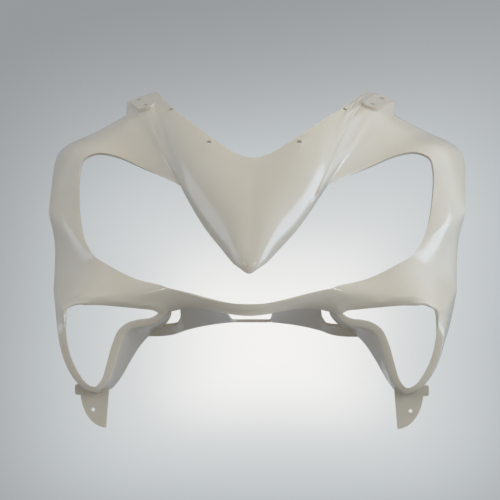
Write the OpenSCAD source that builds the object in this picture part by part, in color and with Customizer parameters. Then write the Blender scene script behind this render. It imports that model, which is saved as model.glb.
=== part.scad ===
// Upper fairing of a sport touring motorcycle, moulded as one thin shell.
// Millimetres. +Z up, the nose points along -Y, left and right mirror in X = 0.
// Sizes are measured from the middle of the mirror pads; the origin is midway between
// the tab screw holes, on the front face of the tabs.

/* [Overall] */
// Widest point of the shell, from the centre plane
half_width = 243; // [200:1:290]
// Wall thickness of the moulding
wall = 3; // [2:0.1:4]
// Width of the flat band along the nose panel and its creases
crease_w = 12; // [8:0.5:16]

/* [Nose] */
// Nose tip ahead of the datum
nose_reach = 230; // [180:1:280]
// Nose tip below the datum
nose_drop = 206; // [170:1:240]
// Half width of the nose where its rounded tip ends
nose_tip_w = 12; // [6:0.5:20]
// Half width of the nose panel at its lower corners
nose_corner_x = 81; // [60:1:100]
// Nose panel corner ahead of the datum
nose_corner_y = 137; // [115:1:160]
// Nose panel corner below the datum
nose_corner_z = 105; // [80:1:130]
// Depth by which the band along the nose falls back at its edge
roll_r = 8; // [3:0.5:10]

/* [Screen edge] */
// Lowest point of the screen edge ahead of the datum
screen_y = 136; // [110:1:160]
// Lowest point of the screen edge below the datum
screen_z = 75; // [50:1:100]
// Half width of the rounded bottom of the screen edge
screen_round = 24; // [12:1:40]
// Height gained by the screen edge over each millimetre outward
screen_slope = 0.75; // [0.5:0.05:1]

/* [Mirror ears] */
// Inner corner of the ear from the centre plane
ear_in_x = 129; // [115:1:140]
// Outer corner of the ear from the centre plane
ear_out_x = 163; // [150:1:180]
// Inner corner of the ear behind the datum
ear_y = 52; // [35:1:75]
// Inner corner of the ear above the datum
ear_z = 15; // [6:1:25]
// Drop from the inner to the outer corner of the ear
ear_fall = 13; // [5:1:20]
// Drop from the outer corner of the ear to its foot
ear_foot = 18; // [8:1:25]

/* [Headlight opening] */
// Outer upper corner of the opening from the centre plane
eye_x = 205; // [180:1:220]
// Outer upper corner of the opening ahead of the datum
eye_y = 74; // [50:1:100]
// Outer upper corner of the opening below the datum
eye_z = 69; // [55:1:85]
// Height of the straight outer side of the opening
eye_side = 97; // [70:1:120]
// Bottom of the opening at the chin below the datum
chin_top = 238; // [228:1:246]

/* [Side panels] */
// Upper outer corner of the side panel below the datum
shoulder_z = 61; // [50:1:75]
// Side crease at the outer edge below the datum
side_crease_z = 134; // [115:1:150]
// Bulge of the side panel across its width
side_crown = 7; // [0:0.5:12]
// Depth of the soft hollow in the lower flank
hollow_depth = 3; // [0:0.5:6]
// Radius of the soft hollow in the lower flank
hollow_r = 17; // [10:1:25]

/* [Chin] */
// Height of the chin bar at the centre plane
chin_h = 11; // [8:0.5:18]
// Chin ahead of the datum at the centre plane
chin_reach = 232; // [200:1:270]

/* [Lower openings] */
// Front face of the lower openings ahead of the datum
duct_y = 198; // [180:1:215]
// Outer side of the lower opening from the centre plane
duct_x = 206; // [190:1:215]
// Inner end of the lower opening from the centre plane
duct_in_x = 101; // [90:1:115]
// Top of the lower opening below the datum
duct_top = 238; // [232:1:244]
// Bottom of the lower opening below the datum
duct_bottom = 331; // [315:1:345]
// Width of the flat rim round the lower opening
rim_w = 8; // [6:0.5:11]
// Rise of the bead along the top of the lower opening
rim_rise = 2; // [0.5:0.5:3]
// Radius of the corner between the rim and its return wall
rim_r = 4.5; // [4:0.5:7]
// Depth of the return wall on the inner side
return_depth = 55; // [35:1:70]

/* [Tabs] */
// Inner edge of the fixing tab from the centre plane
tab_x = 163; // [150:1:172]
// Width of the fixing tab at its root
tab_w = 29; // [20:1:36]
// Length of the fixing tab below the opening
tab_len = 46; // [30:1:60]
// Depth of the flange along the inner edge of the tab
tab_flange = 16; // [8:1:25]
// Radius of the screw hole in the tab
tab_hole_r = 2.2; // [1.5:0.1:3]
// Screw hole in the tab below the root of the tab
tab_hole_drop = 26; // [15:1:35]
// Height of the side lug above the tab
lug_h = 12; // [8:0.5:15]

/* [Bridge] */
// Rear edge of the bridge under the chin, behind the chin
bridge_depth = 78; // [60:1:95]
// Half width of the slot between the chin and the bridge
slot_x = 22; // [12:1:30]
// Drop of the bridge at its lowest points
bridge_sag = 14; // [5:1:20]

/* [Mirror pads] */
// Pitch of the two mirror stud holes
pad_pitch = 38; // [30:1:45]
// Outward turn of the pad seen from above
pad_turn = 13; // [8:1:25]
// Length of the pad
pad_len = 64; // [58:1:75]
// Width of the pad
pad_w = 22; // [18:1:26]
// Rise of the pad above the shell
pad_rise = 1.6; // [1:0.1:3]
// Radius of the mirror stud holes
pad_hole_r = 3.4; // [3:0.1:4.2]

/* [Screen screws] */
// Inner screen screw hole from the centre plane
screw_in_x = 53; // [45:0.5:60]
// Outer screen screw hole from the centre plane
screw_out_x = 104; // [95:0.5:112]
// Distance of the screw holes in from the screen edge
screw_inset = 14; // [9:0.5:18]
// Radius of the screen screw holes
screw_r = 3; // [2:0.1:4]

/* [Hidden] */
$fn = 48;

shell_color = [0.86, 0.85, 0.8];

// Cubic curve through knots [parameter, point, corner]
function seg(k, u, i = 0) = (i >= len(k) - 2 || u < k[i + 1][0]) ? i : seg(k, u, i + 1);
function chord(k, i) = max(0.001, norm(k[i + 1][1] - k[i][1]));
function slope(k, i) = (k[i + 1][1] - k[i][1]) / chord(k, i);
function is_end(k, i) = i <= 0 || i >= len(k) - 1;
function aim(k, i, side) =
    is_end(k, i) || k[i][2] == 1
        ? slope(k, i <= 0 ? 0 : i >= len(k) - 1 ? len(k) - 2 : side < 0 ? i - 1 : i)
        : (slope(k, i - 1) * chord(k, i) + slope(k, i) * chord(k, i - 1)) / (chord(k, i - 1) + chord(k, i));
function hermite(p, a, q, b, f) =
    p * (2 * f * f * f - 3 * f * f + 1) + a * (f * f * f - 2 * f * f + f)
    + q * (3 * f * f - 2 * f * f * f) + b * (f * f * f - f * f);
function curve(k, u, i) =
    hermite(k[i][1], aim(k, i, 1) * chord(k, i), k[i + 1][1], aim(k, i + 1, -1) * chord(k, i),
        (u - k[i][0]) / (k[i + 1][0] - k[i][0]));
function at(k, u) = curve(k, u, seg(k, u));
function flip(p) = [-p[0], p[1], p[2]];
// A mirrored knot at each end keeps a line square to the centre plane
function through(k) = concat([[2 * k[0][0] - k[1][0], flip(k[1][1]), 0]], k,
    [[2 * k[len(k) - 1][0] - k[len(k) - 2][0], flip(k[len(k) - 2][1]), 0]]);
function unit(v) = v / max(0.000001, norm(v));
function clamp01(x) = min(1, max(0, x));
function ease(x) = clamp01(x) * clamp01(x) * (3 - 2 * clamp01(x));

// Edge of the headlight opening, from the nose tip to the chin
eye_low = -(eye_z + eye_side);
opening_line = through([
    [0, [0, -nose_reach, -nose_drop], 0],
    [0.22, [nose_tip_w, 3 - nose_reach, nose_tip_w * 0.52 - nose_drop], 0],
    [1, [nose_corner_x * 0.4, 31 - nose_reach, 31 - nose_drop], 0],
    [2, [nose_corner_x * 0.7, 0.37 * -nose_reach - 0.63 * nose_corner_y, 63 - nose_drop], 0],
    [2.9, [nose_corner_x - crease_w * 0.46, -nose_corner_y - crease_w * 0.95, -nose_corner_z - crease_w * 0.68], 0],
    [3, [nose_corner_x, -nose_corner_y, -nose_corner_z], 1],
    [4, [nose_corner_x + 47, -nose_corner_y + 38, -nose_corner_z + 20], 0],
    [4.7, [eye_x - 14, -eye_y - 1, -eye_z + 2], 0],
    [5, [eye_x - 3, -eye_y - 2, -eye_z - 4], 0],
    [5.3, [eye_x, -eye_y - 7, -eye_z - 16], 0],
    [6, [eye_x - 1, -eye_y - 28, -eye_z - 48], 0],
    [7, [eye_x - 12, -eye_y - 61, eye_low], 0],
    [8, [eye_x - 27, -eye_y - 84, eye_low - 20], 0],
    [9, [eye_x - 46, -eye_y - 98, eye_low - 32], 0],
    [10, [eye_x - 80, -duct_y + 8, 24.5 - chin_top], 0],
    [11, [duct_in_x - 4, -duct_y - 6, 19 - chin_top], 0],
    [13, [duct_in_x - 24, -duct_y - 12, 15 - chin_top], 0],
    [14, [0, -chin_reach, -chin_top], 0]]);

// Outer edge, from the screen edge over the ear and down to the lower opening
rim_edge = through([
    [0, [0, -screen_y, -screen_z], 0],
    [0.5, [screen_round, 6 - screen_y, 7 - screen_z], 0],
    [1, [screen_round * 1.8, 0.88 * -screen_y, 0.8 * screen_round * screen_slope + 6 - screen_z], 0],
    [2, [84, 0.54 * -screen_y, 62 * screen_slope + 4 - screen_z], 0],
    [2.6, [ear_in_x - 10, ear_y - 42, ear_z - 10], 0],
    [2.8, [ear_in_x, ear_y, ear_z], 1],
    [3, [(ear_in_x + ear_out_x) / 2, ear_y - 3, ear_z - ear_fall * 0.4], 0],
    [3.25, [ear_out_x, ear_y - 10, ear_z - ear_fall], 1],
    [3.6, [ear_out_x - 4, 6, ear_z - ear_fall - ear_foot], 1],
    [4, [ear_out_x + 33, 3, ear_z - ear_fall - ear_foot - 21], 0],
    [4.8, [half_width - 9, -7, 5 - shoulder_z], 0],
    [5, [half_width - 2, -9, -shoulder_z - 2], 0],
    [5.2, [half_width, -15, -shoulder_z - 12], 0],
    [6, [half_width - 1, -52, -0.5 * (shoulder_z + side_crease_z) - 8], 0],
    [7, [half_width - 2, -80, -side_crease_z], 1],
    [7.5, [half_width - 11, -90, -side_crease_z - 32], 0],
    [8, [half_width - 14, -119, -side_crease_z - 90], 0],
    [8.5, [half_width - 22, 48 - duct_y, -duct_top - 36], 0]]);

// The same edge without the corners of the ear, which only shape the outer part of the panels
fair_edge = [for (k = rim_edge) if (k[0] < 2.3 || k[0] == 3 || k[0] > 3.7) k];

// Bulge of the panels midway between the two edges
bulge = through([
    [0, [0, -6, 4], 0],
    [1, [1, -7, 6], 0],
    [2, [5, -9, 12], 0],
    [2.9, [12, -13, 19], 1],
    [3, [13, -13, 19], 1],
    [3.6, [7, -11, 12], 0],
    [4, [4, -8, 9], 0],
    [5, [side_crown * 0.6, side_crown * -0.7, side_crown * 0.4], 0],
    [6, [side_crown * 0.7, side_crown * -0.7, 0], 0],
    [7, [side_crown * 0.7, side_crown * -0.6, 0], 0],
    [8, [4, -6, -3], 0],
    [9, [2, -6, -5], 0],
    [10, [0, -4, -2], 0],
    [11, [0, -2, 0], 0],
    [14, [0, -1, 0], 0]]);

// Edge of the lower opening, from its outer upper corner round to the neck
duct_line = [
    [0, [duct_x - 2, -duct_y, -duct_top - 8], 0],
    [0.05, [duct_x, -duct_y, -duct_top - 20], 0],
    [0.15, [duct_x - 1, -duct_y, -duct_top - 37], 0],
    [0.27, [duct_x - 14, -duct_y, -duct_bottom + 17], 0],
    [0.34, [duct_x - 25, -duct_y, -duct_bottom + 3], 0],
    [0.38, [duct_x - 33, -duct_y, -duct_bottom], 0],
    [0.42, [duct_x - 40, -duct_y, -duct_bottom + 8], 0],
    [0.52, [duct_x - 46, -duct_y, -duct_bottom + 26], 0],
    [0.66, [duct_in_x + 52, -duct_y, -duct_top - 43], 0],
    [0.74, [duct_in_x + 45, -duct_y, -duct_top - 28], 0],
    [0.8, [duct_in_x + 34, -duct_y, -duct_top - 20], 0],
    [0.86, [duct_in_x + 22, -duct_y, -duct_top - 17], 0],
    [0.94, [duct_in_x + 6, -duct_y, -duct_top - 15], 0],
    [0.98, [duct_in_x + 1, -duct_y, -duct_top - 12], 0],
    [1, [duct_in_x, -duct_y, -duct_top - 8], 0]];

// Upper edge of the lower opening, then the underside of the chin
lintel = [
    [9, at(duct_line, 0), 0],
    [9.3, [duct_x - 7, -duct_y, -duct_top - 2], 0],
    [9.7, [duct_x - 17, -duct_y, -duct_top], 0],
    [11, [duct_in_x + 40, -duct_y, -duct_top - 1], 0],
    [11.6, [duct_in_x + 15, -duct_y, -duct_top - 3.4], 0],
    [11.85, [duct_in_x + 4, -duct_y, -duct_top - 4.8], 0],
    [12, [duct_in_x, -duct_y, -duct_top - 8], 1]];
neck = [duct_in_x - 13, -duct_y, -duct_top - 6.5];
chin_under = through([
    [13, neck, 0],
    [13.2, [duct_in_x - 21, -duct_y - 1.5, -duct_top - 4], 0],
    [14, [0, 1 - chin_reach, -chin_top - chin_h], 0]]);

// Free edge behind the rim: flank outside, return wall inside
tail = [
    [0, at(rim_edge, 8), 0],
    [0.15, [half_width - 27, -150, -duct_top - 37], 0],
    [0.27, [duct_x - 9, -168, -duct_bottom + 14], 0],
    [0.36, [duct_x - 27, 20 - duct_y, -duct_bottom - 4], 0],
    [0.42, [duct_x - 43, 0.75 * return_depth - duct_y, -duct_bottom - 3], 0],
    [0.52, [duct_x - 52, return_depth - duct_y, -duct_bottom + 8], 0],
    [0.66, [duct_in_x + 41, return_depth + 3 - duct_y, -duct_top - 64], 0],
    [0.76, [duct_in_x + 26, return_depth + 3 - duct_y, -duct_top - 42], 0],
    [0.86, [duct_in_x + 13, return_depth - duct_y, -duct_top - 30], 0],
    [0.94, [duct_in_x - 4, 0.5 * return_depth - duct_y, -duct_top - 21], 0],
    [1, neck, 0]];

// Profile across the lower leg at one place round its opening
function rim_out(w) =
    let (d = unit(at(duct_line, min(1, w + 0.004)) - at(duct_line, max(0, w - 0.004)))) [d[2], 0, -d[0]];
function rim_here(w) = rim_w * (1 - 0.42 * exp(-pow((w - 0.37) / 0.07, 2)));
function leg_profile(w) =
    let (
        a = at(duct_line, w),
        f = at(tail, w),
        out = -rim_out(w),
        corner = a + out * rim_here(w),
        back = unit(f - corner),
        r = rim_r,
        s = corner - out * min(r, rim_here(w) * 0.7),
        e = corner + back * r)
    [a, (a + s) / 2, s, (s + 2 * corner + e) / 4 * 0.9 + (s + e) / 20, e, (e + f) / 2, f];
leg_cells = 6;
// The outer end runs smoothly into the flank, the inner end into the neck
function flank_profile() =
    let (a = at(duct_line, 0), f = at(rim_edge, 8))
    [for (i = [0:leg_cells]) let (t = i / leg_cells) a + (f - a) * t + [2, -9, -4] * 4 * t * (1 - t)];
function neck_profile() = [for (i = [0:leg_cells]) at(duct_line, 1) + (neck - at(duct_line, 1)) * i / leg_cells];
function leg_row(w) =
    let (p = leg_profile(w), q = flank_profile(), n = neck_profile(), b = ease(w / 0.13), c = ease((1 - w) / 0.1))
    [for (i = [0:leg_cells]) p[i] * b * c + q[i] * (1 - b) + n[i] * (1 - c)];

// Stations round the shell: spans and the number of cells in each
side_fold = crease_w / 360;
spans = [[0, 0.22, 3], [0.22, 0.5, 2], [0.5, 1, 2], [1, 2, 4], [2, 2.8, 4], [2.8, 2.9, 1], [2.9, 3, 1], [3, 3.25, 2], [3.25, 3.6, 2],
    [3.6, 4.6, 4], [4.6, 5.4, 7], [5.4, 6, 2], [6, 7 - side_fold, 3], [7 - side_fold, 7 + side_fold, 1],
    [7 + side_fold, 8, 5], [8, 9, leg_cells], [9, 11, 9], [11, 12, 5], [12, 13, leg_cells], [13, 14, 8]];
stations = concat([for (s = spans) for (i = [0:s[2] - 1]) s[0] + (s[1] - s[0]) * i / s[2]], [14]);
function row_of(u) = search(1, [for (s = stations) abs(s - u) < 0.0001 ? 1 : 0])[0];
function outer_edge(u) =
    u <= 8 ? at(rim_edge, u)
    : u <= 9 ? flank_profile()[round((9 - u) * leg_cells)]
    : u <= 12 ? at(lintel, u)
    : u <= 13 ? neck_profile()[round((u - 12) * leg_cells)]
    : at(chin_under, u);
function corner_part(u, t) = u > 8 ? [0, 0, 0] : (at(fair_edge, u) - at(rim_edge, u)) * (t - pow(t, 4));
function panel(u, t) =
    at(opening_line, u) * (1 - t) + outer_edge(u) * t + corner_part(u, t) + at(bulge, u) * 4 * t * (1 - t);

// Cells across a panel: a band along the opening, the panel, then fine cells to its outer edge
mid_cells = 5;
function band_here(u) = 5 + (crease_w - 5) * ease((3.3 - u) / 0.3);
function cross_cells(u) =
    let (
        wide = norm(outer_edge(u) - at(opening_line, u)),
        b = min(band_here(u), 0.2 * wide) / wide,
        e = min(rim_w + 2, 0.45 * wide) / wide)
    concat([0, b / 2], [for (i = [0:mid_cells]) b + (1 - b - e) * i / mid_cells], [1 - e * 0.68, 1 - e * 0.36, 1]);

half_rows = len(stations);
cols = mid_cells + 6;
plain = [for (u = stations) [for (t = cross_cells(u)) panel(u, t)]];

// Surface direction at a cell corner of a grid
function side_step(g, i, j) = g[i][min(j + 1, len(g[i]) - 1)] - g[i][max(j - 1, 0)];
function long_step(g, i, j) = g[min(i + 1, len(g) - 1)][j] - g[max(i - 1, 0)][j];
function face_way(g, i, j) = unit(cross(long_step(g, i, j), side_step(g, i, j)));
function on_plane(v) = unit([0, v[1], v[2]]);
function shell_way(g, i, j) =
    (i == 0 || i == half_rows - 1) ? on_plane(face_way(g, i, j)) : face_way(g, i, j);

// Falling band along the nose, soft flank hollow, and bead over the lower opening
hollow_at = [half_width - 38, -duct_y + 74, -duct_top + 38];
function press(u, i, j) =
    let (
        p = plain[i][j],
        t = cross_cells(u)[j],
        x = clamp01(1 - norm(p - plain[i][0]) / band_here(u)),
        fall = roll_r * (u < 2.95 ? 0.6 * x + 0.4 * x * x : 0.6 * ease((4.4 - u) / 1.4) * ease((1 - t) / 0.4)),
        dip = hollow_depth * exp(-pow(norm(p - hollow_at) / hollow_r, 2)))
    p + [0, fall, 0] - shell_way(plain, i, j) * dip;
bead_line = concat(
    [for (u = [9:0.12:12]) at(lintel, u)],
    [for (w = [0:0.02:0.16]) at(duct_line, w)],
    [for (w = [0.86:0.02:1]) at(duct_line, w)]);
function bead(u, p) =
    u < 7.6 || u > 13.4 ? 0
    : rim_rise * (1 - ease((min([for (q = bead_line) norm(p - q)]) - rim_w + 2.5) / 3.5));
base = [for (i = [0:half_rows - 1]) [for (j = [0:cols - 1]) press(stations[i], i, j)]];
skin = [for (i = [0:half_rows - 1]) [for (j = [0:cols - 1])
    base[i][j] + shell_way(base, i, j) * (wall + bead(stations[i], base[i][j]))]];

// The leg grid takes its first and last rows from the shell
first_row = row_of(8);
last_row = row_of(12);
leg_rows = 42;
function leg_first(g) = [for (c = [0:leg_cells]) g[first_row + leg_cells - c][cols - 1]];
function leg_last(g) = [for (c = [0:leg_cells]) g[last_row + c][cols - 1]];
leg_base = concat([leg_first(base)], [for (r = [1:leg_rows - 1]) leg_row(r / leg_rows)], [leg_last(base)]);
function leg_bead(w, c) =
    bead(9 - c / leg_cells, leg_base[0][c]) * (1 - ease(w / 0.13))
    + bead(12 + c / leg_cells, leg_base[leg_rows][c]) * (1 - ease((1 - w) / 0.1));
leg_skin = [for (r = [0:leg_rows]) [for (c = [0:leg_cells])
    r == 0 ? leg_first(skin)[c]
    : r == leg_rows ? leg_last(skin)[c]
    : leg_base[r][c] + face_way(leg_base, r, c) * (wall + leg_bead(r / leg_rows, c))]];

// One closed skin: the ring of panels and the two legs share their end rows
ring_rows = 2 * half_rows - 2;
function ring_src(i) = i < half_rows ? i : ring_rows - i;
function ring_pt(g, i, j) = i < half_rows ? g[i][j] : flip(g[ring_rows - i][j]);
ring_pts = concat(
    [for (i = [0:ring_rows - 1]) for (j = [0:cols - 1]) ring_pt(skin, i, j)],
    [for (i = [0:ring_rows - 1]) for (j = [0:cols - 1]) ring_pt(base, i, j)]);
ring_n = ring_rows * cols;
leg_n = (leg_rows - 1) * (leg_cells + 1);
leg_pts = [for (g = [leg_skin, leg_base]) for (r = [1:leg_rows - 1]) for (c = [0:leg_cells]) g[r][c]];
function ring_id(i, j, in) = ((i + ring_rows) % ring_rows) * cols + j + in * ring_n;
function leg_end(i, side, in) = ring_id(side > 0 ? i : ring_rows - i, cols - 1, in);
function leg_id(r, c, in, side) =
    r == 0 ? leg_end(first_row + leg_cells - c, side, in)
    : r == leg_rows ? leg_end(last_row + c, side, in)
    : 2 * ring_n + (side > 0 ? 0 : 2 * leg_n) + in * leg_n + (r - 1) * (leg_cells + 1) + c;
function quad(a, b, c, d, way) = way > 0 ? [a, b, c, d] : [d, c, b, a];
function shared(i) =
    let (k = i < half_rows - 1 ? i : ring_rows - 1 - i)
    (k >= first_row && k < first_row + leg_cells) || (k >= last_row && k < last_row + leg_cells);
ring_faces = concat(
    [for (in = [0, 1]) for (i = [0:ring_rows - 1]) for (j = [0:cols - 2])
        quad(ring_id(i, j, in), ring_id(i, j + 1, in), ring_id(i + 1, j + 1, in), ring_id(i + 1, j, in), in ? -1 : 1)],
    [for (i = [0:ring_rows - 1])
        quad(ring_id(i, 0, 0), ring_id(i + 1, 0, 0), ring_id(i + 1, 0, 1), ring_id(i, 0, 1), 1)],
    [for (i = [0:ring_rows - 1]) if (!shared(i))
        quad(ring_id(i, cols - 1, 0), ring_id(i + 1, cols - 1, 0), ring_id(i + 1, cols - 1, 1), ring_id(i, cols - 1, 1), -1)]);
function leg_faces(side) = concat(
    [for (in = [0, 1]) for (r = [0:leg_rows - 1]) for (c = [0:leg_cells - 1])
        quad(leg_id(r, c, in, side), leg_id(r, c + 1, in, side), leg_id(r + 1, c + 1, in, side),
            leg_id(r + 1, c, in, side), in ? -side : side)],
    [for (c = [0, leg_cells]) for (r = [0:leg_rows - 1])
        quad(leg_id(r, c, 0, side), leg_id(r + 1, c, 0, side), leg_id(r + 1, c, 1, side),
            leg_id(r, c, 1, side), c == 0 ? side : -side)]);
function triangles(q) = [for (f = q) for (t = [[f[0], f[1], f[2]], [f[0], f[2], f[3]]]) t];

module shell() {
    polyhedron(
        points = concat(ring_pts, leg_pts, [for (p = leg_pts) flip(p)]),
        faces = triangles(concat(ring_faces, leg_faces(1), leg_faces(-1))));
}

// Closed plate between an upper grid of points and the same grid lowered by the wall
module plate(g, drop) {
    rows = len(g);
    n = len(g[0]);
    low = [for (r = g) [for (p = r) p + drop]];
    polyhedron(
        points = [for (k = [g, low]) for (r = k) for (p = r) p],
        faces = triangles(concat(
            [for (i = [0:rows - 2]) for (j = [0:n - 2])
                [i * n + j, i * n + j + 1, (i + 1) * n + j + 1, (i + 1) * n + j]],
            [for (i = [0:rows - 2]) for (j = [0:n - 2]) let (o = rows * n)
                [o + (i + 1) * n + j, o + (i + 1) * n + j + 1, o + i * n + j + 1, o + i * n + j]],
            [for (i = [0:rows - 2]) for (e = [0, 1]) let (o = rows * n, a = i * n + e * (n - 1), b = a + n)
                quad(a, b, b + o, a + o, e ? -1 : 1)],
            [for (j = [0:n - 2]) for (e = [0, 1]) let (o = rows * n, a = e * (rows - 1) * n + j, b = a + 1)
                quad(a, b, b + o, a + o, e ? 1 : -1)])));
}

// Bridge behind the chin: from the chin's lower edge down to a free rear edge
function chin_u(x, a = 13, b = 14, n = 14) =
    n == 0 ? (a + b) / 2
    : at(chin_under, (a + b) / 2)[0] > x ? chin_u(x, (a + b) / 2, b, n - 1) : chin_u(x, a, (a + b) / 2, n - 1);
function on_chin(x) = at(chin_under, chin_u(x)) + [0, wall / 2, wall];
bridge_y = bridge_depth - chin_reach;
bridge_z = -chin_top - chin_h - 7;
// The wings leave the chin at the root and run out to the return walls
wing_root = duct_in_x - 23;
wing_end = duct_in_x + 22;
wing_y = return_depth - duct_y;
bridge_front = through([
    [0, [0, bridge_y - 18, bridge_z], 0],
    [slot_x - 5, [slot_x - 5, bridge_y - 18, bridge_z], 1],
    [slot_x, [slot_x, bridge_y - 30, bridge_z + 1], 0],
    [slot_x + 4, on_chin(slot_x + 4), 1],
    [slot_x + 28, on_chin(slot_x + 28), 0],
    [wing_root, on_chin(wing_root), 1],
    [wing_root + 2, [wing_root + 1, wing_y - 36, bridge_z + 4], 0],
    [wing_root + 6, [wing_root + 5, wing_y - 30, bridge_z - 3], 0],
    [wing_root + 20, [wing_root + 20, wing_y - 18, bridge_z - 5], 0],
    [wing_root + 32, [wing_root + 32, wing_y - 9, bridge_z - 7], 0],
    [wing_end, [wing_end, wing_y + 2, bridge_z - 10], 0]]);
bridge_rear = through([
    [0, [0, bridge_y, bridge_z + wall - 3], 0],
    [slot_x + 28, [slot_x + 28, (bridge_y + wing_y) / 2, bridge_z - 0.3 * bridge_sag], 0],
    [wing_root - 3, [wing_root - 4, wing_y, bridge_z - 0.68 * bridge_sag], 0],
    [wing_root + 15, [wing_root + 13, wing_y - 3, bridge_z - 1.1 * bridge_sag], 0],
    [wing_root + 34, [wing_root + 33, wing_y, bridge_z - 1.25 * bridge_sag], 0],
    [wing_end, [wing_end - 3, wing_y + 6, bridge_z - 1.25 * bridge_sag], 0]]);
bridge_cells = [slot_x - 5, slot_x, slot_x + 4, slot_x + 16, slot_x + 28, slot_x + 42, wing_root, wing_root + 2,
    wing_root + 6, wing_root + 13, wing_root + 20, wing_root + 32, wing_end];
function bridge_row(x) =
    let (a = at(bridge_front, abs(x)), b = at(bridge_rear, abs(x)), d = a + (b - a) * 0.5)
    [for (p = [a, d, b]) x < 0 ? flip(p) : p];
sorted_rows = [for (i = [len(bridge_cells) - 1:-1:0]) -bridge_cells[i]];
module bridge() {
    plate([for (x = concat(sorted_rows, [0], bridge_cells)) bridge_row(x)], [0, 0, -wall]);
}

// Fixing tab under each lower opening, with its flange and side lug
tab_y = 16 - duct_y;
tab_hole_x = tab_x + tab_w / 2;
tab_hole_z = -duct_bottom - tab_hole_drop;
module tab() {
    root = [for (w = [0.3:0.01:0.45]) at(duct_line, w) - rim_out(w) * (rim_here(w) - wall / 2)];
    translate([0, tab_y + wall, 0])
        rotate([90, 0, 0])
            linear_extrude(wall)
                polygon(concat(
                    [for (p = root) [p[0], p[2]]],
                    [for (a = [0:9:90]) [
                        tab_x + tab_w * sin(a),
                        -duct_bottom - 4 - (tab_len - 4) * cos(a)]]));
    translate([tab_x, tab_y, 0])
        rotate([90, 0, 90])
            linear_extrude(wall)
                polygon([
                    [0, -duct_bottom - tab_len],
                    [tab_flange * 0.3, -duct_bottom - tab_len + 2],
                    [tab_flange, -duct_bottom - tab_len * 0.4],
                    [tab_flange, -duct_bottom - 1],
                    [0, -duct_bottom - 1]]);
    translate([tab_x + tab_w + 1, tab_y + tab_flange, -duct_bottom - 3.5])
        rotate([90, 0, 0])
            linear_extrude(tab_flange)
                hull()
                    for (x = [-1, 1], z = [-1, 1])
                        translate([x * (lug_h / 2 - 3.5), z * (lug_h / 2 - 2.5)])
                            circle(r = 2.5, $fn = 16);
}

// Mirror pad: flat raised seat on the crown of each ear
pad_u = 3;
pad_t = 0.8;
pad_c = panel(pad_u, pad_t);
pad_up = unit(cross(panel(pad_u + 0.14, pad_t) - panel(pad_u - 0.14, pad_t),
    panel(pad_u, pad_t + 0.02) - panel(pad_u, pad_t - 0.02)));
pad_along = unit(cross(cross(pad_up, [sin(pad_turn), cos(pad_turn), 0]), pad_up));
pad_across = cross(pad_up, pad_along);
function frame(c, x, y, z) = [
    [x[0], y[0], z[0], c[0]],
    [x[1], y[1], z[1], c[1]],
    [x[2], y[2], z[2], c[2]],
    [0, 0, 0, 1]];
module on_pad() {
    multmatrix(frame(pad_c, pad_along, pad_across, pad_up))
        children();
}
module pad() {
    on_pad()
        translate([0, 0, -wall])
            linear_extrude(1.4 * wall + pad_rise)
                hull()
                    for (s = [-1, 1])
                        translate([s * (pad_len - pad_w) / 2, 0])
                            circle(d = pad_w);
}
module pad_holes() {
    on_pad()
        for (s = [-1, 1])
            translate([s * pad_pitch / 2, 0, -4 * wall])
                cylinder(r = pad_hole_r, h = 8 * wall);
}

// Screen screw holes, both drilled square to the line that joins them
function screw_spot(x) =
    let (u = screw_u(x), b = outer_edge(u), a = at(opening_line, u)) panel(u, 1 - screw_inset / norm(b - a));
function screw_u(x, a = 0.2, b = 2.8, n = 14) =
    n == 0 ? (a + b) / 2
    : at(rim_edge, (a + b) / 2)[0] < x ? screw_u(x, (a + b) / 2, b, n - 1) : screw_u(x, a, (a + b) / 2, n - 1);
screw_a = screw_spot(screw_in_x);
screw_b = screw_spot(screw_out_x);
screw_mid = (screw_a + screw_b) / 2;
screw_along = unit(screw_b - screw_a);
screw_in = panel(screw_u((screw_in_x + screw_out_x) / 2), 0.8) - screw_mid;
screw_up = unit(cross(screw_in, screw_along));
module screw_holes() {
    multmatrix(frame(screw_mid, screw_along, cross(screw_up, screw_along), screw_up))
        for (s = [-1, 1])
            translate([s * norm(screw_b - screw_a) / 2, 0, -5 * wall])
                cylinder(r = screw_r, h = 10 * wall);
}

module both() {
    children();
    mirror([1, 0, 0])
        children();
}

module fairing_shell() {
    color(shell_color)
        translate([0, -tab_y, -tab_hole_z])
            difference() {
                union() {
                    shell();
                    bridge();
                    both() {
                        tab();
                        pad();
                    }
                }
                both() {
                    pad_holes();
                    screw_holes();
                    translate([tab_hole_x, tab_y + 2 * wall, tab_hole_z])
                        rotate([90, 0, 0])
                            cylinder(r = tab_hole_r, h = 3 * wall);
                }
            }
}

fairing_shell();
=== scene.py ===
"""Upper fairing of a touring motorcycle, one glossy plastic moulding, in a plain studio."""

import math

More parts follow.
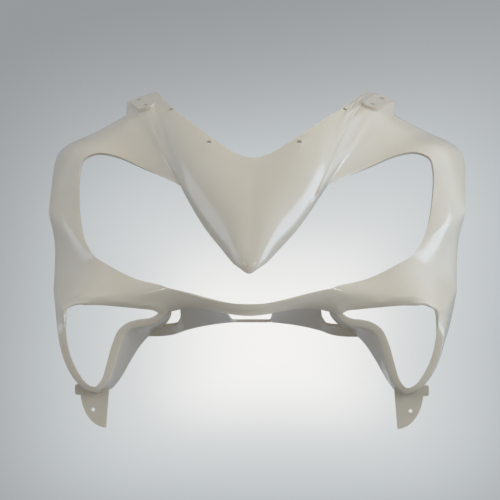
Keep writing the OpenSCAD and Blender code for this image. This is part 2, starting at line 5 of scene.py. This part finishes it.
import bmesh
import bpy
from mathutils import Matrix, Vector


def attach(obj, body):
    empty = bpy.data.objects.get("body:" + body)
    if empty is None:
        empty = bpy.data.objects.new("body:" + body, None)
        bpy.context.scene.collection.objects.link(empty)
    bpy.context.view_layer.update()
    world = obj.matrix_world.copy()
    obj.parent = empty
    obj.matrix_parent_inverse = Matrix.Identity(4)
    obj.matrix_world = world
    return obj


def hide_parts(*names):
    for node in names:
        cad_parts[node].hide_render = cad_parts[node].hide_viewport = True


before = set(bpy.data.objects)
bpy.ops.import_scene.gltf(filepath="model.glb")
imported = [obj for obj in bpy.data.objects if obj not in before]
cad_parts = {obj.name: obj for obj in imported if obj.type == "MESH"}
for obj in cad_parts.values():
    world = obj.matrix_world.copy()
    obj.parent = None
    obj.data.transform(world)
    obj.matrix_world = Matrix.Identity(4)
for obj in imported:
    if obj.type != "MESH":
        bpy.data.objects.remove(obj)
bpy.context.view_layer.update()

bl_info = {
    "name": "Motorcycle upper fairing",
    "version": (1, 0, 0),
    "blender": (4, 5, 0),
    "location": "3D View > Sidebar > Fairing",
    "description": "Dresses the moulded upper fairing and sets up its studio",
    "category": "Object",
}

MM = 0.001

# Two triangles become one four-sided cell where they are as flat and as square as this.
CELL_FLATNESS = math.radians(32)
CELL_SQUARENESS = math.radians(80)

# Sockets of the Mix node when it mixes colours.
MIX_A, MIX_B, MIX_RESULT = 6, 7, 2

# Backdrop colours between the painted glow and the painted shade, each with its share of the way
# out, and the share at which the glow's own colour stands.
BACKDROP_TONES = (
    (0.2, "EDEDEB"),
    (0.34, "D4D7D8"),
    (0.52, "C2C7C9"),
    (0.68, "ADB1B4"),
    (0.84, "9FA2A4"),
)
GLOW_CORE = 0.06

# How much sooner the glow ends upwards and downwards than sideways, as a share, and how far
# it is pulled into the upper right.
GLOW_END_UP = 0.08
GLOW_END_DOWN = 0.5
GLOW_PULL = -0.2

# Strength of the pale surroundings from below and from above, and the gain on it from ahead,
# from either side and from the right.
FILL_LOW, FILL_HIGH = 0.34, 0.66
GAIN_AHEAD, GAIN_SIDE, GAIN_RIGHT = 0.8, 0.95, 0.6

# Soft boxes: name, place, width in metres, power in watts and colour.
LAMPS = (
    ("right_lamp", (3.2, -0.9, 1.1), 2.4, 62, "D6E5FF"),
    ("left_lamp", (-3.2, -0.9, 1.1), 2.4, 28, "D6E5FF"),
    ("right_spark", (1.3, -2.4, 1.0), 0.22, 4, "FFFFFF"),
    ("left_spark", (-1.4, -2.3, 1.1), 0.22, 3, "FFFFFF"),
)
LAMP_AIM = (0.0, 0.05, 0.18)

# What the camera shows lies between these distances, in metres.
NEAREST, FARTHEST = 0.05, 50


def srgb(code):
    """Linear colour of a hex code such as D8CFBA."""
    parts = [int(code[i : i + 2], 16) / 255 for i in (0, 2, 4)]
    return tuple(p / 12.92 if p <= 0.04045 else ((p + 0.055) / 1.055) ** 2.4 for p in parts)


# Sizes and colours


class FAIRING_PG_moulding(bpy.types.PropertyGroup):
    """Folds, corners and nose of the moulding."""

    merge: bpy.props.FloatProperty(
        name="Merge",
        description="Points of the skin closer than this become one",
        default=0.52 * MM,
        unit="LENGTH",
    )
    fold: bpy.props.FloatProperty(
        name="Fold",
        description="Edges that turn more than this stay crisp",
        default=math.radians(30),
        subtype="ANGLE",
    )
    firmness: bpy.props.FloatProperty(
        name="Firmness",
        description="How far a crisp edge resists rounding, from 0 to 1",
        default=0.45,
        min=0,
        max=1,
    )
    evening: bpy.props.IntProperty(
        name="Evening",
        description="Rounds in which the skin between the folds is drawn smooth",
        default=3,
        min=0,
        max=10,
    )
    corner: bpy.props.FloatVectorProperty(
        name="Corner",
        description="Where the flank meets the rim of the right lower opening",
        default=(198 * MM, -16 * MM, 118 * MM),
        subtype="TRANSLATION",
        unit="LENGTH",
        size=3,
    )
    corner_reach: bpy.props.FloatProperty(
        name="Corner reach",
        description="How far round that corner the skin is blended",
        default=12 * MM,
        unit="LENGTH",
    )
    corner_rounds: bpy.props.IntProperty(
        name="Corner rounds",
        description="Rounds in which the skin round that corner is drawn smooth",
        default=6,
        min=0,
        max=10,
    )
    tip_bottom: bpy.props.FloatProperty(
        name="Tip bottom",
        description="Height at which the nose is slimmest",
        default=155 * MM,
        unit="LENGTH",
    )
    tip_under: bpy.props.FloatProperty(
        name="Tip under",
        description="How far the nose's rounded end may hang below that height",
        default=15 * MM,
        unit="LENGTH",
    )
    tip_top: bpy.props.FloatProperty(
        name="Tip top",
        description="Height from which the nose narrows to its tip",
        default=200 * MM,
        unit="LENGTH",
    )
    tip_slim: bpy.props.FloatProperty(
        name="Tip slimness",
        description="Share of its width that the tip gives up",
        default=0.27,
        min=0,
        max=0.5,
    )
    tip_lift: bpy.props.FloatProperty(
        name="Tip lift",
        description="How far the tip is drawn up",
        default=2.8 * MM,
        unit="LENGTH",
    )
    nose_half: bpy.props.FloatProperty(
        name="Nose half width",
        description="Half width within which only the nose panel lies at the tip's height",
        default=60 * MM,
        unit="LENGTH",
    )
    band_top: bpy.props.FloatProperty(
        name="Band top",
        description="Height up to which the nose panel's folds are rounded",
        default=335 * MM,
        unit="LENGTH",
    )
    band_half: bpy.props.FloatProperty(
        name="Band half width",
        description="Half width within which the nose panel's folds are rounded",
        default=120 * MM,
        unit="LENGTH",
    )
    band_rounds: bpy.props.IntProperty(
        name="Band rounds",
        description="Rounds in which those folds and the skin next to them are drawn smooth",
        default=3,
        min=0,
        max=10,
    )
    levels: bpy.props.IntProperty(
        name="Smoothing",
        description="Rounds of subdivision on the skin",
        default=2,
        min=1,
        max=3,
    )


class FAIRING_PG_plastic(bpy.types.PropertyGroup):
    """Cream ABS as it comes from the mould."""

    tone: bpy.props.FloatVectorProperty(
        name="Tone",
        description="Colour of the plastic",
        default=srgb("D8CFBA"),
        subtype="COLOR",
        size=3,
    )
    warm_tone: bpy.props.FloatVectorProperty(
        name="Warm tone",
        description="Colour where the resin flowed last and set a little warmer",
        default=srgb("D6CCB5"),
        subtype="COLOR",
        size=3,
    )
    roughness: bpy.props.FloatProperty(
        name="Roughness",
        description="Mean roughness of the outer face",
        default=0.18,
        min=0.05,
        max=0.8,
    )
    polish: bpy.props.FloatProperty(
        name="Polish",
        description="How much smoother than the mean the best patches are",
        default=0.02,
        min=0,
        max=0.05,
    )
    haze: bpy.props.FloatProperty(
        name="Haze",
        description="How much rougher than the mean the handled patches are",
        default=0.03,
        min=0,
        max=0.2,
    )
    smudge: bpy.props.FloatProperty(
        name="Smudge",
        description="Size of the patches in which the gloss varies",
        default=27 * MM,
        unit="LENGTH",
    )
    peel: bpy.props.FloatProperty(
        name="Peel",
        description="Grain size of the fine texture left by the mould",
        default=1.4 * MM,
        unit="LENGTH",
    )
    peel_depth: bpy.props.FloatProperty(
        name="Peel depth",
        description="Depth of that texture",
        default=0.02 * MM,
        unit="LENGTH",
    )
    flow: bpy.props.FloatProperty(
        name="Flow",
        description="Size of the soft clouding left by the resin's flow",
        default=70 * MM,
        unit="LENGTH",
    )
    sink_depth: bpy.props.FloatProperty(
        name="Sink depth",
        description="Depth of the slight waves where the resin shrank",
        default=0.12 * MM,
        unit="LENGTH",
    )
    light_depth: bpy.props.FloatProperty(
        name="Light depth",
        description="How deep light goes into the resin",
        default=4 * MM,
        unit="LENGTH",
    )


class FAIRING_PG_studio(bpy.types.PropertyGroup):
    """Camera, lamps, floor and backdrop."""

    camera_distance: bpy.props.FloatProperty(
        name="Camera distance",
        description="Distance from the camera to the nose",
        default=2.2,
        unit="LENGTH",
    )
    camera_turn: bpy.props.FloatProperty(
        name="Camera turn",
        description="Angle of the camera round the nose from straight ahead",
        default=math.radians(3.2),
        subtype="ANGLE",
    )
    camera_height: bpy.props.FloatProperty(
        name="Camera height",
        description="Height of the camera above the tab screws",
        default=179 * MM,
        unit="LENGTH",
    )
    nose_front: bpy.props.FloatProperty(
        name="Nose front",
        description="Place of the nose tip along the fairing, from the tab screws",
        default=-48 * MM,
        unit="LENGTH",
    )
    lens: bpy.props.FloatProperty(
        name="Lens",
        description="Focal length of the lens",
        default=144.9,
        unit="CAMERA",
    )
    sensor: bpy.props.FloatProperty(
        name="Sensor",
        description="Width of the camera's sensor",
        default=36,
        unit="CAMERA",
    )
    shift: bpy.props.FloatProperty(
        name="Shift",
        description="Sideways shift of the lens, as a share of the picture's width",
        default=0.0026,
    )
    # The glow and the shade are painted light and painted shade on the backdrop wall, which
    # gives off this light by itself.
    glow: bpy.props.FloatVectorProperty(
        name="Glow",
        description="Backdrop colour behind the fairing",
        default=srgb("F3F2F0"),
        subtype="COLOR",
        size=3,
    )
    shade: bpy.props.FloatVectorProperty(
        name="Shade",
        description="Backdrop colour in the upper corners",
        default=srgb("95989C"),
        subtype="COLOR",
        size=3,
    )
    glow_across: bpy.props.FloatProperty(
        name="Glow across",
        description="Place of the glow's middle across the wall",
        default=-175.3 * MM,
        unit="LENGTH",
    )
    glow_height: bpy.props.FloatProperty(
        name="Glow height",
        description="Place of the glow's middle above the tab screws",
        default=-156.2 * MM,
        unit="LENGTH",
    )
    glow_reach: bpy.props.FloatProperty(
        name="Glow reach",
        description="Distance across the wall from the glow's middle to the full shade",
        default=1.37,
        unit="LENGTH",
    )
    floor_drop: bpy.props.FloatProperty(
        name="Floor drop",
        description="How far the floor lies below the tab screws",
        default=0.7,
        unit="LENGTH",
    )
    floor_half: bpy.props.FloatProperty(
        name="Floor half width",
        description="How far the floor reaches to either side and to the front",
        default=7,
        unit="LENGTH",
    )
    wall_back: bpy.props.FloatProperty(
        name="Wall distance",
        description="How far the backdrop stands behind the tab screws",
        default=4.5,
        unit="LENGTH",
    )
    wall_top: bpy.props.FloatProperty(
        name="Wall top",
        description="Height of the backdrop above the tab screws",
        default=5,
        unit="LENGTH",
    )


# Materials


def add_node(tree, kind, inputs=None, **settings):
    """A shader node with its settings, and inputs given as values or as sockets."""
    node = tree.nodes.new(kind)
    for key, value in settings.items():
        setattr(node, key, value)
    for key, value in (inputs or {}).items():
        socket = node.inputs[key]
        if isinstance(value, bpy.types.NodeSocket):
            tree.links.new(value, socket)
        elif isinstance(value, tuple) and len(value) == 3 and socket.type == "RGBA":
            socket.default_value = (*value, 1)
        else:
            socket.default_value = value
    return node


def new_material(name):
    """An empty material and its node tree."""
    material = bpy.data.materials.new(name)
    material.use_nodes = True
    material.node_tree.nodes.clear()
    return material, material.node_tree


def moulded_abs(plastic):
    """ABS, moulded: cream and glossy, with soft clouding where the resin flowed."""
    material, tree = new_material("abs_moulded")
    place = add_node(tree, "ShaderNodeTexCoord").outputs["Object"]
    cloud = add_node(
        tree,
        "ShaderNodeTexNoise",
        {"Vector": place, "Scale": 1 / plastic.flow, "Detail": 3.0, "Roughness": 0.5},
    ).outputs["Fac"]
    tint = add_node(
        tree,
        "ShaderNodeMapRange",
        {"Value": cloud, "From Min": 0.35, "From Max": 0.7, "To Min": 0.0, "To Max": 1.0},
    ).outputs["Result"]
    colour = add_node(
        tree,
        "ShaderNodeMix",
        {"Factor": tint, MIX_A: tuple(plastic.tone), MIX_B: tuple(plastic.warm_tone)},
        data_type="RGBA",
    ).outputs[MIX_RESULT]

    # The gloss varies a little from patch to patch, as on a moulding that has been handled.
    smudges = add_node(
        tree,
        "ShaderNodeTexNoise",
        {"Vector": place, "Scale": 1 / plastic.smudge, "Detail": 5.0, "Roughness": 0.62},
    ).outputs["Fac"]
    rough = add_node(
        tree,
        "ShaderNodeMapRange",
        {
            "Value": smudges,
            "From Min": 0.3,
            "From Max": 0.75,
            "To Min": plastic.roughness - plastic.polish,
            "To Max": plastic.roughness + plastic.haze,
        },
    ).outputs["Result"]

    # Slight waves where the resin shrank, and over them the fine peel of the mould's own face.
    # A wave of the noise is two grains wide. The real peel is finer, and would not show.
    sink = add_node(
        tree,
        "ShaderNodeBump",
        {"Strength": 0.35, "Distance": plastic.sink_depth, "Height": cloud},
    ).outputs["Normal"]
    speck = add_node(
        tree,
        "ShaderNodeTexNoise",
        {"Vector": place, "Scale": 1 / (2 * plastic.peel), "Detail": 2.0},
    ).outputs["Fac"]
    grain = add_node(
        tree,
        "ShaderNodeBump",
        {"Strength": 0.3, "Distance": plastic.peel_depth, "Height": speck, "Normal": sink},
    ).outputs["Normal"]

    # A thin bright sheen lies over the resin, and a little light passes into it at thin edges.
    shader = add_node(
        tree,
        "ShaderNodeBsdfPrincipled",
        {
            "Base Color": colour,
            "Roughness": rough,
            "IOR": 1.53,
            "Normal": grain,
            "Coat Weight": 0.2,
            "Coat Roughness": 0.06,
            "Subsurface Weight": 0.3,
            "Subsurface Radius": (1.0, 0.8, 0.55),
            "Subsurface Scale": plastic.light_depth,
        },
    )
    add_node(tree, "ShaderNodeOutputMaterial", {"Surface": shader.outputs["BSDF"]})
    return material


def glow_distance(tree, studio):
    """How far a point of the wall is from the glow's middle, 1 at the full shade."""
    place = add_node(tree, "ShaderNodeTexCoord").outputs["Object"]
    middle = (studio.glow_across, 0.0, studio.glow_height)
    from_middle = add_node(
        tree,
        "ShaderNodeMapping",
        {
            "Vector": place,
            "Location": tuple(-c / studio.glow_reach for c in middle),
            "Scale": (1 / studio.glow_reach, 0.0, 1 / studio.glow_reach),
        },
    ).outputs["Vector"]
    parts = add_node(tree, "ShaderNodeSeparateXYZ", {"Vector": from_middle})
    across, rise = parts.outputs["X"], parts.outputs["Z"]
    up = add_node(
        tree, "ShaderNodeMath", {0: rise, 1: 0.0}, operation="MAXIMUM"
    ).outputs["Value"]
    down = add_node(
        tree, "ShaderNodeMath", {0: rise, 1: 0.0}, operation="MINIMUM"
    ).outputs["Value"]
    taller = add_node(
        tree, "ShaderNodeMath", {0: up, 1: GLOW_END_UP, 2: rise}, operation="MULTIPLY_ADD"
    ).outputs["Value"]
    stretched = add_node(
        tree, "ShaderNodeMath", {0: down, 1: GLOW_END_DOWN, 2: taller}, operation="MULTIPLY_ADD"
    ).outputs["Value"]

    # The length of the squares, and its root, give a circle that is drawn out towards a square.
    flat = add_node(
        tree, "ShaderNodeCombineXYZ", {"X": across, "Y": stretched}
    ).outputs["Vector"]
    squares = add_node(
        tree, "ShaderNodeVectorMath", {0: flat, 1: flat}, operation="MULTIPLY"
    ).outputs["Vector"]
    length = add_node(
        tree, "ShaderNodeVectorMath", {0: squares}, operation="LENGTH"
    ).outputs["Value"]
    boxy = add_node(tree, "ShaderNodeMath", {0: length}, operation="SQRT").outputs["Value"]

    corner = add_node(
        tree, "ShaderNodeMath", {0: across, 1: up}, operation="MULTIPLY"
    ).outputs["Value"]
    return add_node(
        tree, "ShaderNodeMath", {0: corner, 1: GLOW_PULL, 2: boxy}, operation="MULTIPLY_ADD"
    ).outputs["Value"]


def glowing_paper(tree, studio):
    """Light of the wall as the camera sees it: a painted glow, pale in the middle, that fades to
    painted shade in grey corners.
    """
    ramp = add_node(tree, "ShaderNodeValToRGB", {"Fac": glow_distance(tree, studio)})
    stops = ramp.color_ramp
    stops.interpolation = "B_SPLINE"
    stops.elements[0].position = GLOW_CORE
    stops.elements[0].color = (*studio.glow, 1)
    stops.elements[1].position = 1.0
    stops.elements[1].color = (*studio.shade, 1)
    for where, code in BACKDROP_TONES:
        stops.elements.new(where).color = (*srgb(code), 1)
    return add_node(
        tree, "ShaderNodeEmission", {"Color": ramp.outputs["Color"], "Strength": 1.0}
    ).outputs["Emission"]


def backdrop_paper(studio, name, glows):
    """Matt studio paper, uncoated, which on the wall also gives off a painted glow. From behind
    it is clear, so that it hides nothing.
    """
    material, tree = new_material(name)

    # Paper sends little light back to the fairing, so that its underside stays dark.
    path = add_node(tree, "ShaderNodeLightPath")
    pale = add_node(
        tree, "ShaderNodeBsdfDiffuse", {"Color": srgb("DCDAD6")}
    ).outputs["BSDF"]
    dull = add_node(
        tree, "ShaderNodeBsdfDiffuse", {"Color": srgb("8A8985")}
    ).outputs["BSDF"]
    seen = add_node(
        tree, "ShaderNodeMixShader", {"Fac": path.outputs["Is Diffuse Ray"], 1: pale, 2: dull}
    ).outputs["Shader"]
    # On the wall a painted glow takes the paper's place where the camera sees it, in reflections
    # and through the resin.
    if glows:
        shown = add_node(
            tree,
            "ShaderNodeMath",
            {0: path.outputs["Is Camera Ray"], 1: path.outputs["Is Glossy Ray"]},
            operation="MAXIMUM",
        ).outputs["Value"]
        direct = add_node(
            tree,
            "ShaderNodeMath",
            {0: shown, 1: path.outputs["Is Transmission Ray"]},
            operation="MAXIMUM",
        ).outputs["Value"]
        seen = add_node(
            tree, "ShaderNodeMixShader", {"Fac": direct, 1: seen, 2: glowing_paper(tree, studio)}
        ).outputs["Shader"]
    clear = add_node(tree, "ShaderNodeBsdfTransparent").outputs["BSDF"]
    behind = add_node(tree, "ShaderNodeNewGeometry").outputs["Backfacing"]
    one_way = add_node(
        tree, "ShaderNodeMixShader", {"Fac": behind, 1: seen, 2: clear}
    ).outputs["Shader"]
    add_node(tree, "ShaderNodeOutputMaterial", {"Surface": one_way})
    return material


# The moulding


def crisp_edges(bm, fold, firmness):
    """Keeps the folds firm, and keeps what turns twice as far, the wall's edges, sharp."""
    crease = bm.edges.layers.float.new("crease_edge")
    for edge in bm.edges:
        turn = edge.calc_face_angle(0)
        if turn > 2 * fold:
            edge[crease] = 1
            edge.smooth = False
        elif turn > fold:
            edge[crease] = firmness
    return crease


def draw_smooth(bm, verts, rounds):
    """Moves the points half of the way to the mean of their neighbours in each round."""
    for _ in range(rounds):
        bmesh.ops.smooth_vert(
            bm, verts=verts, factor=0.5, use_axis_x=True, use_axis_y=True, use_axis_z=True
        )


def even_skin(bm, moulding):
    """Draws the skin smooth between the folds, and leaves the folds where they are."""
    fold = moulding.fold
    skin = [v for v in bm.verts if all(e.calc_face_angle(0) < fold for e in v.link_edges)]
    draw_smooth(bm, skin, moulding.evening)


def blend_corner(bm, crease, moulding):
    """Blends the flank into the rim at the outer upper corner of each lower opening."""
    right = Vector(moulding.corner)
    left = Vector((-right.x, right.y, right.z))
    reach = moulding.corner_reach
    near = {v for v in bm.verts if min((v.co - right).length, (v.co - left).length) < reach}
    for edge in bm.edges:
        if near.issuperset(edge.verts):
            edge[crease] = 0
            edge.smooth = True
    draw_smooth(bm, list(near), moulding.corner_rounds)


def round_band(bm, crease, moulding):
    """Rounds the folds along the nose panel's edges, where the panel rolls into its band."""
    low, high = moulding.tip_bottom - moulding.tip_under, moulding.band_top
    near = {v for v in bm.verts if abs(v.co.x) < moulding.band_half and low < v.co.z < high}
    folds = [e for e in bm.edges if 0 < e[crease] < 1 and near.issuperset(e.verts)]
    for edge in folds:
        edge[crease] = 0
    roll = {v for e in folds for v in e.verts}
    roll |= {e.other_vert(v) for v in roll for e in v.link_edges}
    roll = [v for v in roll if v in near and all(e[crease] == 0 for e in v.link_edges)]
    draw_smooth(bm, roll, moulding.band_rounds)


def slim_tip(bm, moulding):
    """Draws the nose in to its tip, where its edges run almost straight to a small round."""
    low, high = moulding.tip_bottom, moulding.tip_top
    for vert in bm.verts:
        beside = low - moulding.tip_under < vert.co.z < high
        if beside and abs(vert.co.x) < moulding.nose_half:
            near = min(1, (high - vert.co.z) / (high - low))
            vert.co.x *= 1 - moulding.tip_slim * near**2
            vert.co.z += moulding.tip_lift * near**4


def joined_skin(moulding):
    """The solid's own skin in a bmesh, without slivers and mostly in four-sided cells."""
    bm = bmesh.new()
    bm.from_mesh(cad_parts["fairing_shell"].data)
    bmesh.ops.remove_doubles(bm, verts=bm.verts, dist=moulding.merge)
    fins = [f for f in bm.faces if all(len(e.link_faces) != 2 for e in f.edges)]
    bmesh.ops.delete(bm, geom=fins, context="FACES")
    bmesh.ops.join_triangles(
        bm,
        faces=bm.faces,
        angle_face_threshold=CELL_FLATNESS,
        angle_shape_threshold=CELL_SQUARENESS,
    )
    return bm


def moulded_shell(moulding, material):
    """The one moulding, over the solid of the same size, with its facets drawn smooth."""
    bm = joined_skin(moulding)
    crease = crisp_edges(bm, moulding.fold, moulding.firmness)
    even_skin(bm, moulding)
    blend_corner(bm, crease, moulding)
    round_band(bm, crease, moulding)
    slim_tip(bm, moulding)
    for face in bm.faces:
        face.smooth = True
        face.material_index = 0
    mesh = bpy.data.meshes.new("moulded_fairing")
    bm.to_mesh(mesh)
    bm.free()
    mesh.materials.append(material)
    piece = bpy.data.objects.new("moulded_fairing", mesh)
    bpy.context.scene.collection.objects.link(piece)
    smooth = piece.modifiers.new("smooth_skin", "SUBSURF")
    smooth.levels = moulding.levels
    smooth.render_levels = moulding.levels
    return piece


class FAIRING_OT_moulding(bpy.types.Operator):
    """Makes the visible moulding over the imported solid"""

    bl_idname = "fairing.moulding"
    bl_label = "Moulded fairing"

    def execute(self, context):
        scene = context.scene
        piece = moulded_shell(scene.fairing_moulding, moulded_abs(scene.fairing_plastic))
        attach(piece, "root")
        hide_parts("fairing_shell")
        return {"FINISHED"}


# The studio


def stage_sheet(name, corners, material):
    """One flat sheet of studio paper."""
    bm = bmesh.new()
    bm.faces.new([bm.verts.new(c) for c in corners])
    mesh = bpy.data.meshes.new(name)
    bm.to_mesh(mesh)
    bm.free()
    mesh.materials.append(material)
    sheet = bpy.data.objects.new(name, mesh)
    bpy.context.scene.collection.objects.link(sheet)
    return sheet


def soft_lamp(name, place, width, power, tone):
    """A square soft box aimed at the middle of the fairing."""
    light = bpy.data.lights.new(name, "AREA")
    light.shape = "SQUARE"
    light.size = width
    light.energy = power
    light.color = srgb(tone)
    lamp = bpy.data.objects.new(name, light)
    lamp.location = place
    aim = Vector(LAMP_AIM) - Vector(place)
    lamp.rotation_euler = aim.to_track_quat("-Z", "Y").to_euler()
    bpy.context.scene.collection.objects.link(lamp)
    return lamp


def studio_camera(studio):
    """A camera with a long lens, level with the nose and a little to the right of it."""
    turn = studio.camera_turn
    nose = Vector((0, studio.nose_front, studio.camera_height))
    away = Vector((math.sin(turn), -math.cos(turn), 0))
    lens = bpy.data.cameras.new("studio_camera")
    lens.lens = studio.lens
    lens.sensor_width = studio.sensor
    lens.shift_x = studio.shift
    lens.clip_start = NEAREST
    lens.clip_end = FARTHEST
    camera = bpy.data.objects.new("studio_camera", lens)
    camera.location = nose + away * studio.camera_distance
    camera.rotation_euler = (-away).to_track_quat("-Z", "Y").to_euler()
    bpy.context.scene.collection.objects.link(camera)
    return camera


def studio_world():
    """Pale surroundings that fill the shadows, cooler at the sides than ahead."""
    world = bpy.data.worlds.new("studio")
    world.use_nodes = True
    tree = world.node_tree
    tree.nodes.clear()
    place = add_node(tree, "ShaderNodeTexCoord").outputs["Generated"]
    parts = add_node(tree, "ShaderNodeSeparateXYZ", {"Vector": place})
    level = add_node(
        tree,
        "ShaderNodeMapRange",
        {
            "Value": parts.outputs["Z"],
            "From Min": -0.3,
            "From Max": 0.9,
            "To Min": FILL_LOW,
            "To Max": FILL_HIGH,
        },
    ).outputs["Result"]
    across = parts.outputs["X"]
    aside = add_node(
        tree, "ShaderNodeMath", {0: across}, operation="ABSOLUTE"
    ).outputs["Value"]
    even = add_node(
        tree,
        "ShaderNodeMath",
        {0: aside, 1: GAIN_SIDE, 2: GAIN_AHEAD},
        operation="MULTIPLY_ADD",
    ).outputs["Value"]
    gain = add_node(
        tree, "ShaderNodeMath", {0: across, 1: GAIN_RIGHT, 2: even}, operation="MULTIPLY_ADD"
    ).outputs["Value"]
    strength = add_node(
        tree, "ShaderNodeMath", {0: level, 1: gain}, operation="MULTIPLY"
    ).outputs["Value"]
    tint = add_node(
        tree,
        "ShaderNodeMix",
        {"Factor": aside, MIX_A: srgb("FFF7EC"), MIX_B: srgb("CFE1FF")},
        data_type="RGBA",
    ).outputs[MIX_RESULT]
    light = add_node(
        tree, "ShaderNodeBackground", {"Color": tint, "Strength": strength}
    ).outputs["Background"]
    pale = add_node(
        tree, "ShaderNodeBackground", {"Color": srgb("C4C8CA"), "Strength": 1.0}
    ).outputs["Background"]
    camera = add_node(tree, "ShaderNodeLightPath").outputs["Is Camera Ray"]
    seen = add_node(
        tree, "ShaderNodeMixShader", {"Fac": camera, 1: light, 2: pale}
    ).outputs["Shader"]
    add_node(tree, "ShaderNodeOutputWorld", {"Surface": seen})
    return world


class FAIRING_OT_studio(bpy.types.Operator):
    """Sets up the camera, lamps, floor and backdrop"""

    bl_idname = "fairing.studio"
    bl_label = "Studio"

    def execute(self, context):
        scene = context.scene
        studio = scene.fairing_studio
        scene.world = studio_world()
        scene.view_settings.view_transform = "Standard"

        side, low = studio.floor_half, -studio.floor_drop
        back, top = studio.wall_back, studio.wall_top
        stage_sheet(
            "studio_floor",
            [(-side, -side, low), (side, -side, low), (side, back, low), (-side, back, low)],
            backdrop_paper(studio, "studio_floor_paper", False),
        )
        stage_sheet(
            "studio_wall",
            [(-side, back, low), (side, back, low), (side, back, top), (-side, back, top)],
            backdrop_paper(studio, "studio_wall_paper", True),
        )
        for lamp in LAMPS:
            soft_lamp(*lamp)
        scene.camera = studio_camera(studio)
        return {"FINISHED"}


class FAIRING_PT_panel(bpy.types.Panel):
    """Lists the steps and their sizes"""

    bl_idname = "FAIRING_PT_panel"
    bl_label = "Upper fairing"
    bl_space_type = "VIEW_3D"
    bl_region_type = "UI"
    bl_category = "Fairing"

    def draw(self, context):
        for step, group in (
            ("fairing.moulding", context.scene.fairing_moulding),
            (None, context.scene.fairing_plastic),
            ("fairing.studio", context.scene.fairing_studio),
        ):
            box = self.layout.box()
            for key in group.__annotations__:
                box.prop(group, key)
            if step:
                box.operator(step)


CLASSES = (
    FAIRING_PG_moulding,
    FAIRING_PG_plastic,
    FAIRING_PG_studio,
    FAIRING_OT_moulding,
    FAIRING_OT_studio,
    FAIRING_PT_panel,
)
GROUPS = {
    "fairing_moulding": FAIRING_PG_moulding,
    "fairing_plastic": FAIRING_PG_plastic,
    "fairing_studio": FAIRING_PG_studio,
}


def register():
    """Adds the classes, and hangs the groups of sizes on the scene."""
    for cls in CLASSES:
        bpy.utils.register_class(cls)
    for key, cls in GROUPS.items():
        setattr(bpy.types.Scene, key, bpy.props.PointerProperty(type=cls))


def unregister():
    """Takes them away again."""
    for key in GROUPS:
        delattr(bpy.types.Scene, key)
    for cls in reversed(CLASSES):
        bpy.utils.unregister_class(cls)


def main():
    """Makes the piece and the studio."""
    register()
    bpy.ops.fairing.moulding()
    bpy.ops.fairing.studio()


if __name__ == "__main__":
    main()
